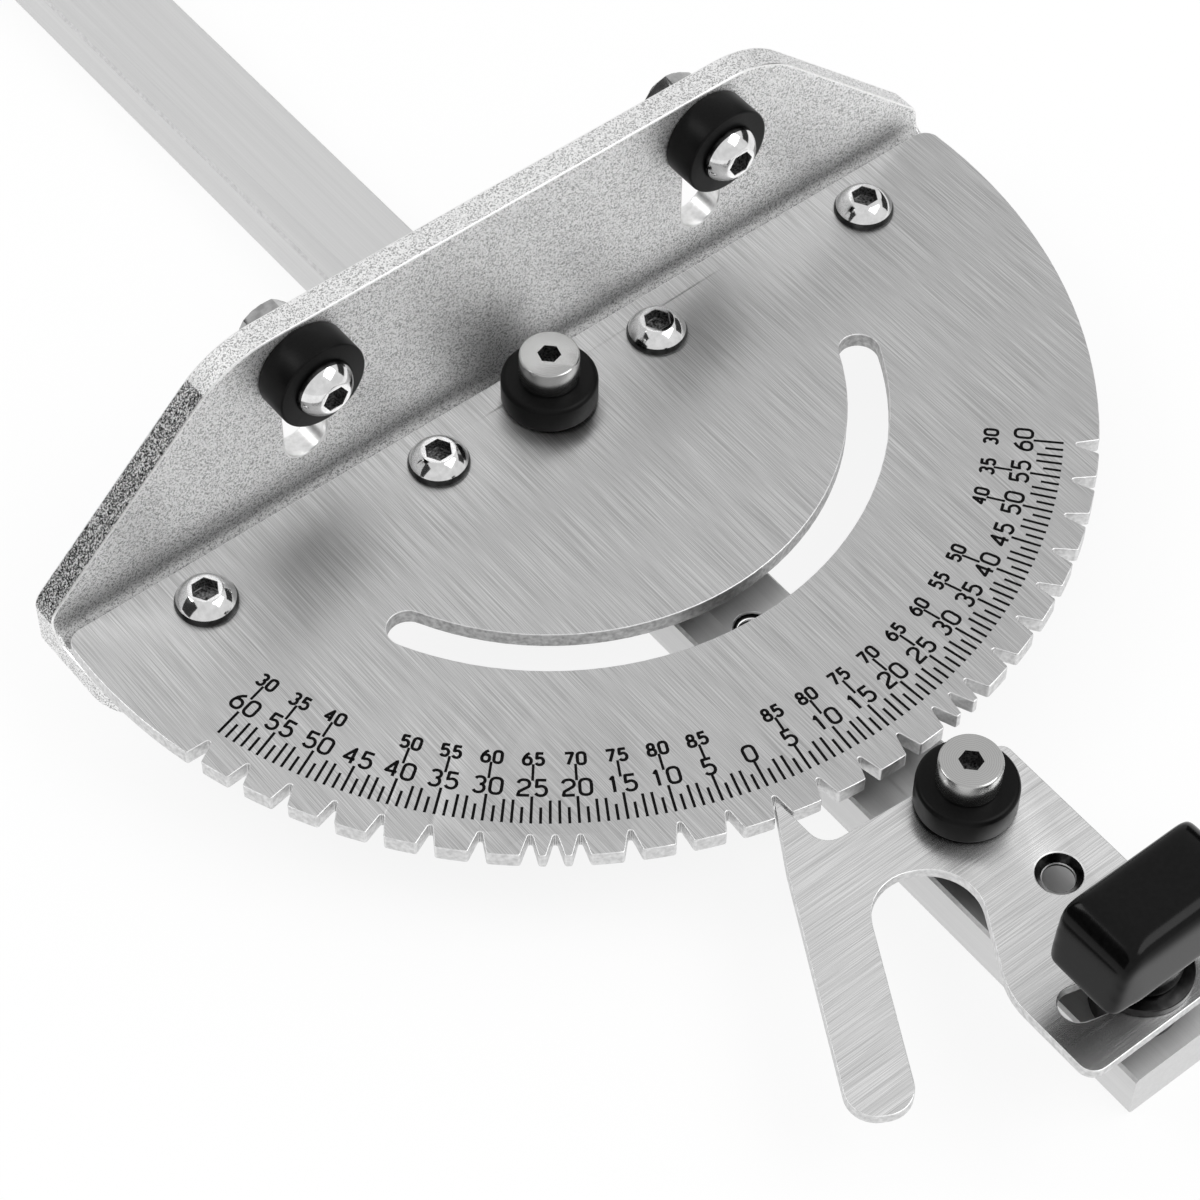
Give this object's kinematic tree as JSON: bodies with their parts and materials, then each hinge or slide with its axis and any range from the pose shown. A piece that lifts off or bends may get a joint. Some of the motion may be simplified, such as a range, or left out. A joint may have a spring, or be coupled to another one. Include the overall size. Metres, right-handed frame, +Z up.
{
  "type": "miter gauge",
  "caption": "Miter gauge with a notched protractor head and an angle fence that turn on a guide bar, locked by a pivoting index plate and a clamp handle.",
  "frame": {"origin": "on the bar's underside, on the axis that the head turns about", "axes": "+Z up out of the table, +Y the way the work is fed, along the bar, +X to the right seen from behind the clamp handle"},
  "size_m": [0.184, 0.45, 0.0551],
  "materials": {
    "satin_bar": "satin, ground along its length",
    "brushed_plate": "brushed",
    "blasted_bracket": "bead blasted",
    "index_sheet": "brushed",
    "bright_screws": "polished nickel plate",
    "turned_screws": "fine turned",
    "washer_steel": "dark oiled",
    "insert_brass": "turned",
    "black_ring": "satin moulded",
    "handle_plastic": "semi-gloss moulded"
  },
  "bodies": {
    "bar": {"miter_bar": "satin_bar", "pivot_washer": "washer_steel", "pivot_ring": "black_ring", "pivot_screw": "turned_screws", "index_spacer": "black_ring", "index_ring": "black_ring", "index_screw": "turned_screws", "clamp_spacer": "black_ring", "clamp_stud": "bright_screws", "clamp_washer": "washer_steel"},
    "head": {"protractor_plate": "brushed_plate", "fence_bracket": "blasted_bracket", "head_screws": "bright_screws"},
    "index": {"index_plate": "index_sheet"},
    "handle": {"handle_insert": "insert_brass", "clamp_handle": "handle_plastic"},
    "fence_left": {"fence_ring_left": "black_ring", "fence_screw_left": "bright_screws", "fence_nut_left": "bright_screws"},
    "fence_right": {"fence_ring_right": "black_ring", "fence_screw_right": "bright_screws", "fence_nut_right": "bright_screws"}
  },
  "joints": [
    {"name": "head_turn", "type": "hinge", "parent": "bar", "child": "head", "pos_m": [0, 0, 0.018], "axis": [0, 0, 1], "range_deg": [-60, 60]},
    {"name": "index_release", "type": "hinge", "parent": "bar", "child": "index", "pos_m": [0, -0.1039, 0.017], "axis": [0, 0, 1], "range_deg": [0, 16]},
    {"name": "handle_turn", "type": "hinge", "parent": "bar", "child": "handle", "pos_m": [0, -0.143, 0.03], "axis": [0, 0, 1], "range_deg": [0, 270]},
    {"name": "fence_screw_left_slide", "type": "slide", "parent": "head", "child": "fence_left", "axis": [0, 0, 1], "range_m": [-0.018, 0]},
    {"name": "fence_screw_right_slide", "type": "slide", "parent": "head", "child": "fence_right", "axis": [0, 0, 1], "range_m": [-0.018, 0]}
  ]
}
